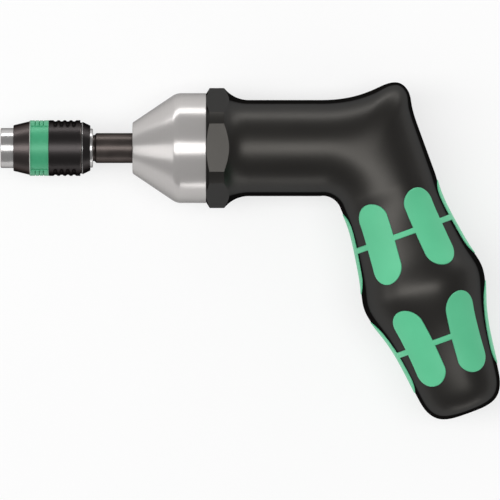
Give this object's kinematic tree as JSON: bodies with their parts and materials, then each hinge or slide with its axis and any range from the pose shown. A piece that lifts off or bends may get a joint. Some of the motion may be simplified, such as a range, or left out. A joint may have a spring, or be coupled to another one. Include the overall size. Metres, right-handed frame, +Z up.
{
  "type": "torque screwdriver",
  "caption": "Pistol-grip torque screwdriver with a ball clutch, a leaning grip with soft pads, and a quick-release hexagon bit chuck.",
  "frame": {"origin": "centre of the mouth of the bit socket, on the drive axis", "axes": "+X along the drive axis from the bit back into the handle, +Y to the side of the horn, +Z up as the tool lies on its side"},
  "size_m": [0.1548, 0.1049, 0.0389],
  "materials": {
    "bright_steel": "turned and polished",
    "dark_steel": "black oxide, turned",
    "spring_steel": "drawn wire",
    "magnet": "nickel plated",
    "black_sleeve": "satin black",
    "green_ring": "satin green",
    "turned_aluminium": "fine turned",
    "bearing_bronze": "sintered",
    "brass": "turned",
    "black_handle": "satin moulded",
    "green_pad": "soft moulded"
  },
  "bodies": {
    "handle": {"handle_body": "black_handle", "upper_grip_pads": "green_pad", "lower_grip_pads": "green_pad", "threaded_insert": "brass", "front_housing": "turned_aluminium", "front_bush": "bearing_bronze", "clutch_plate": "dark_steel", "clutch_key_pins": "bright_steel", "clutch_retaining_ring": "dark_steel"},
    "spindle": {"spindle": "dark_steel", "chuck_body": "bright_steel", "rear_collar": "bright_steel", "chuck_pin": "bright_steel", "bit_magnet": "magnet", "bit_lift_spring": "spring_steel", "front_thrust_washer": "bright_steel", "load_thrust_washer": "bright_steel", "spring_seat": "dark_steel", "adjusting_nut": "dark_steel", "lock_nut": "dark_steel", "main_spring": "spring_steel", "release_spring": "spring_steel"},
    "pressure_plate": {"pressure_plate": "dark_steel", "clutch_balls": "bright_steel"},
    "lock_sleeve": {"lock_sleeve": "dark_steel"},
    "outer_sleeve": {"sleeve_core": "black_sleeve", "colour_ring": "green_ring", "ribbed_ring": "black_sleeve", "sleeve_cap": "black_sleeve"},
    "upper_ball": {"lock_ball_upper": "bright_steel"},
    "lower_ball": {"lock_ball_lower": "bright_steel"}
  },
  "joints": [
    {"name": "spindle_spin", "type": "hinge", "parent": "handle", "child": "spindle", "pos_m": [0, 0, 0], "axis": [1, 0, 0], "continuous": true},
    {"name": "plate_lift", "type": "slide", "parent": "spindle", "child": "pressure_plate", "axis": [1, 0, 0], "range_m": [0, 0.0007], "stiffness_N_per_m": 1500, "springref_m": -0.02, "deforming": ["main_spring"]},
    {"name": "sleeve_slide", "type": "slide", "parent": "spindle", "child": "lock_sleeve", "axis": [-1, 0, 0], "range_m": [0, 0.0026], "stiffness_N_per_m": 800, "springref_m": -0.003, "deforming": ["release_spring"]},
    {"name": "sleeve_spin", "type": "hinge", "parent": "lock_sleeve", "child": "outer_sleeve", "pos_m": [0, 0, 0], "axis": [1, 0, 0], "continuous": true},
    {"name": "upper_ball_slide", "type": "slide", "parent": "spindle", "child": "upper_ball", "axis": [0, 0, 1], "range_m": [0, 0.00055]},
    {"name": "lower_ball_slide", "type": "slide", "parent": "spindle", "child": "lower_ball", "axis": [0, 0, -1], "range_m": [0, 0.00055]}
  ],
  "couplings": [
    {"joint": "upper_ball_slide", "follows": "sleeve_slide", "ratio": 0.2115},
    {"joint": "lower_ball_slide", "follows": "sleeve_slide", "ratio": 0.2115}
  ]
}
